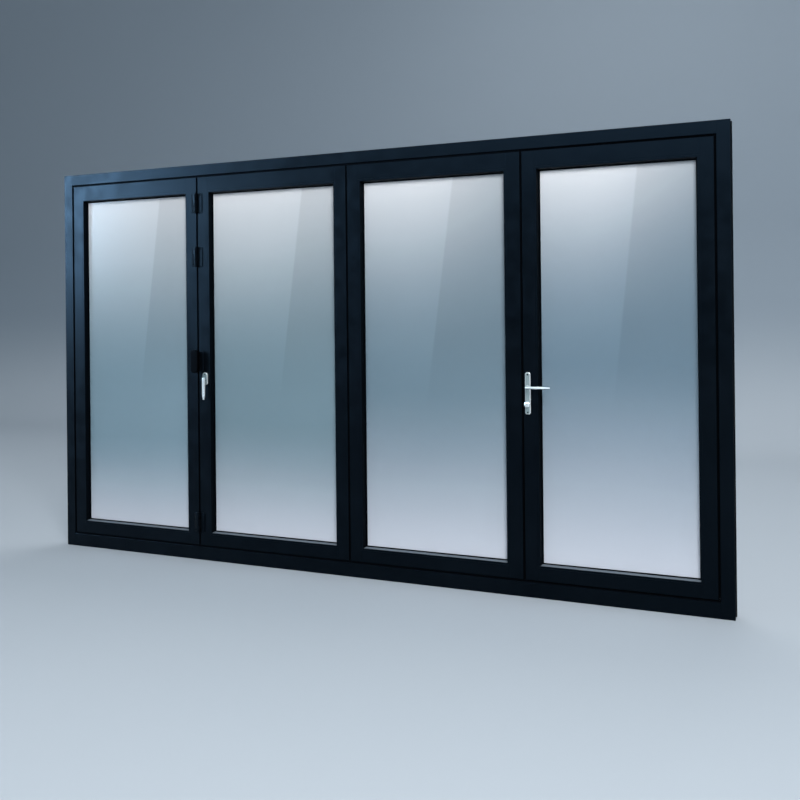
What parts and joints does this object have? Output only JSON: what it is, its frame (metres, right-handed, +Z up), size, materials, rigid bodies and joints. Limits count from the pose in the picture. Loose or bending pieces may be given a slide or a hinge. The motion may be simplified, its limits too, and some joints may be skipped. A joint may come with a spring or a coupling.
{
  "type": "four-leaf bifold glass patio door",
  "caption": "Dark grey aluminium bifold patio door in a fixed frame, with four glazed leaves that fold to the left and a hinged access door on the right.",
  "frame": {"origin": "Middle of the flat underside of the sill, which is also the mount sill_underside.", "axes": "X to the right seen from the room, Y outwards, through the door and away from the room, Z up."},
  "size_m": [3.98, 0.1788, 2.3],
  "materials": {
    "frame_coating": "satin",
    "hinge_coating": "satin",
    "glass": "polished",
    "handle_metal": "polished",
    "track_metal": "brushed",
    "steel": "brushed",
    "rubber": "matte"
  },
  "bodies": {
    "frame_and_folding_leaves": {"door_hinges_on_jamb": "hinge_coating", "fold_hinges_leaf_1_to_2": "hinge_coating", "fold_hinges_leaf_2_to_3": "hinge_coating", "guide_carriages": "steel", "head": "frame_coating", "head_track": "track_metal", "leaf_1_gaskets": "rubber", "leaf_1_glass_unit": "glass", "leaf_1_glazing_beads": "frame_coating", "leaf_1_left_stile": "frame_coating", "leaf_1_rails": "frame_coating", "leaf_1_right_stile": "frame_coating", "leaf_2_gaskets": "rubber", "leaf_2_glass_unit": "glass", "leaf_2_glazing_beads": "frame_coating", "leaf_2_left_stile": "frame_coating", "leaf_2_rails": "frame_coating", "leaf_2_right_stile": "frame_coating", "leaf_3_gaskets": "rubber", "leaf_3_glass_unit": "glass", "leaf_3_glazing_beads": "frame_coating", "leaf_3_left_stile": "frame_coating", "leaf_3_rails": "frame_coating", "leaf_3_right_stile": "frame_coating", "left_jamb": "frame_coating", "left_jamb_hinges": "hinge_coating", "pull_grip": "hinge_coating", "right_jamb": "frame_coating", "shootbolt_base": "handle_metal", "sill": "frame_coating", "sill_track": "track_metal", "strike_plate": "steel", "weather_seals": "rubber"},
    "access_door": {"leaf_4_gaskets": "rubber", "leaf_4_glass_unit": "glass", "leaf_4_glazing_beads": "frame_coating", "leaf_4_left_stile": "frame_coating", "leaf_4_rails": "frame_coating", "leaf_4_right_stile": "frame_coating", "door_hinges_on_leaf": "hinge_coating", "inner_backplate": "handle_metal", "outer_backplate": "handle_metal", "lock_cylinder": "steel", "lock_faceplate": "steel"},
    "levers": {"inner_lever": "handle_metal", "outer_lever": "handle_metal"},
    "thumbturn": {"thumbturn": "handle_metal"},
    "shootbolt_handle": {"shootbolt_handle": "handle_metal"}
  },
  "joints": [
    {"name": "access_door_swing", "type": "hinge", "parent": "frame_and_folding_leaves", "child": "access_door", "pos_m": [1.922, 0.048, 1.15], "axis": [0, 0, -1], "range_deg": [0, 95]},
    {"name": "lever_turn", "type": "hinge", "parent": "access_door", "child": "levers", "pos_m": [1.013, 0, 1.048], "axis": [0, 1, 0], "range_deg": [0, 40], "stiffness_Nm_per_rad": 1.2, "springref_deg": -14.9},
    {"name": "thumbturn_turn", "type": "hinge", "parent": "access_door", "child": "thumbturn", "pos_m": [1.013, -0.05, 0.963], "axis": [0, 1, 0], "range_deg": [-180, 180]},
    {"name": "shootbolt_handle_turn", "type": "hinge", "parent": "frame_and_folding_leaves", "child": "shootbolt_handle", "pos_m": [-0.935, -0.05, 1.053], "axis": [0, -1, 0], "range_deg": [0, 90]}
  ]
}
